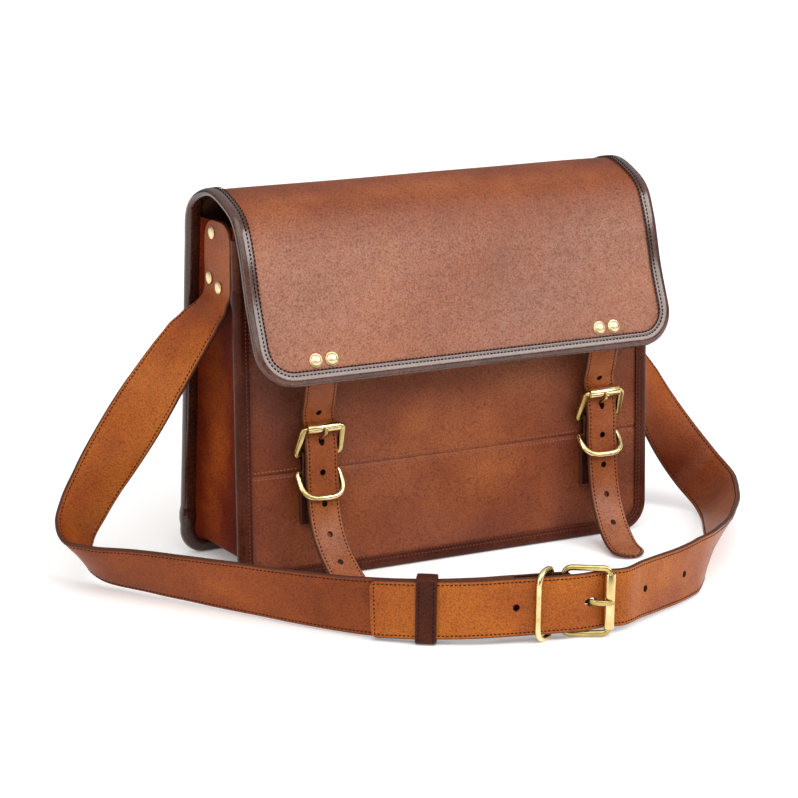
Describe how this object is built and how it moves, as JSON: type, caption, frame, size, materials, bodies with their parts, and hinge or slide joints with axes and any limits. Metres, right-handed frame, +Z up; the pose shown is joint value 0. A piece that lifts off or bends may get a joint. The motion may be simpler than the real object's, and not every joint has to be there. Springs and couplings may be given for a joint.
{
  "type": "satchel bag",
  "caption": "Leather satchel with a rounded bound flap, buckled closure straps with metal loops, and a buckled shoulder strap riveted to its gusset.",
  "frame": {"origin": "middle of the front lower edge, on the surface that the bag stands on", "axes": "+X to the right seen from the front, +Y to the back, +Z up"},
  "size_m": [0.5049, 0.2919, 0.2579],
  "materials": {
    "body_leather": "satin, fine pebble grain, reddish brown",
    "gusset_leather": "satin, deep red-brown",
    "binding_leather": "polished edge tape, near black-brown, stitched",
    "strap_leather": "satin, tan, stitched along both edges",
    "dark_leather": "satin, very dark brown",
    "brass": "antique brass, brighter where it rubs"
  },
  "bodies": {
    "bag": {"back_panel": "body_leather", "back_binding": "binding_leather", "front_panel_lower": "body_leather", "front_panel_upper": "body_leather", "front_binding": "binding_leather", "gusset": "gusset_leather", "shoulder_tab_left": "strap_leather", "shoulder_tab_right": "strap_leather", "tab_rivet_left_1": "brass", "tab_rivet_left_2": "brass", "tab_rivet_left_3": "brass", "tab_rivet_right_1": "brass", "tab_rivet_right_2": "brass", "tab_rivet_right_3": "brass", "buckle_frame_left": "brass", "closure_chape_left": "dark_leather", "buckle_frame_right": "brass", "closure_chape_right": "dark_leather"},
    "flap": {"flap_leather": "body_leather", "flap_binding": "binding_leather", "closure_strap_left": "strap_leather", "closure_strap_right": "strap_leather", "flap_rivet_left_1": "brass", "flap_rivet_left_2": "brass", "flap_rivet_right_1": "brass", "flap_rivet_right_2": "brass"},
    "strap": {"shoulder_strap_left": "strap_leather", "shoulder_strap_right": "strap_leather", "shoulder_chape": "dark_leather", "shoulder_buckle_frame": "brass"},
    "roller_left": {"buckle_roller_left": "brass"},
    "tongue_left": {"buckle_tongue_left": "brass"},
    "loop_left": {"closure_loop_left": "brass"},
    "roller_right": {"buckle_roller_right": "brass"},
    "tongue_right": {"buckle_tongue_right": "brass"},
    "loop_right": {"closure_loop_right": "brass"},
    "strap_roller": {"shoulder_buckle_roller": "brass"},
    "strap_tongue": {"shoulder_buckle_tongue": "brass"},
    "strap_loop": {"shoulder_loop": "brass"},
    "keeper": {"strap_keeper": "dark_leather"}
  },
  "joints": [
    {"name": "flap_hinge", "type": "hinge", "parent": "bag", "child": "flap", "pos_m": [0, 0.08564, 0.23934], "axis": [-1, 0, 0], "range_deg": [0, 180], "deforming": ["closure_strap_left", "closure_strap_right"]},
    {"name": "strap_lift", "type": "hinge", "parent": "bag", "child": "strap", "pos_m": [0, 0.05, 0.184], "axis": [-1, 0, 0], "range_deg": [0, 125], "deforming": ["shoulder_strap_left", "shoulder_strap_right"]},
    {"name": "roller_left_spin", "type": "hinge", "parent": "bag", "child": "roller_left", "pos_m": [-0.1035, -0.00575, 0.10512], "axis": [1, 0, 0], "continuous": true},
    {"name": "tongue_left_swing", "type": "hinge", "parent": "bag", "child": "tongue_left", "pos_m": [-0.1035, 0.0015, 0.08622], "axis": [1, 0, 0], "range_deg": [0, 4]},
    {"name": "loop_left_swing", "type": "hinge", "parent": "bag", "child": "loop_left", "pos_m": [-0.1035, 0.00128, 0.07422], "axis": [-1, 0, 0], "range_deg": [0, 30]},
    {"name": "roller_right_spin", "type": "hinge", "parent": "bag", "child": "roller_right", "pos_m": [0.116, -0.00575, 0.10512], "axis": [1, 0, 0], "continuous": true},
    {"name": "tongue_right_swing", "type": "hinge", "parent": "bag", "child": "tongue_right", "pos_m": [0.116, 0.0015, 0.08622], "axis": [1, 0, 0], "range_deg": [0, 4]},
    {"name": "loop_right_swing", "type": "hinge", "parent": "bag", "child": "loop_right", "pos_m": [0.116, 0.00128, 0.07422], "axis": [-1, 0, 0], "range_deg": [0, 30]},
    {"name": "strap_roller_spin", "type": "hinge", "parent": "strap", "child": "strap_roller", "pos_m": [0.00143, -0.18976, 0.024], "axis": [0, 0, 1], "continuous": true},
    {"name": "strap_tongue_swing", "type": "hinge", "parent": "strap", "child": "strap_tongue", "pos_m": [-0.024, -0.176, 0.024], "axis": [0, 0, -1], "range_deg": [0, 4]},
    {"name": "strap_loop_swing", "type": "hinge", "parent": "strap", "child": "strap_loop", "pos_m": [-0.03225, -0.17394, 0.024], "axis": [0, 0, 1], "range_deg": [0, 30]},
    {"name": "keeper_slide", "type": "slide", "parent": "strap", "child": "keeper", "axis": [0.8241, -0.5664, 0], "range_m": [-0.006, 0.006]}
  ]
}
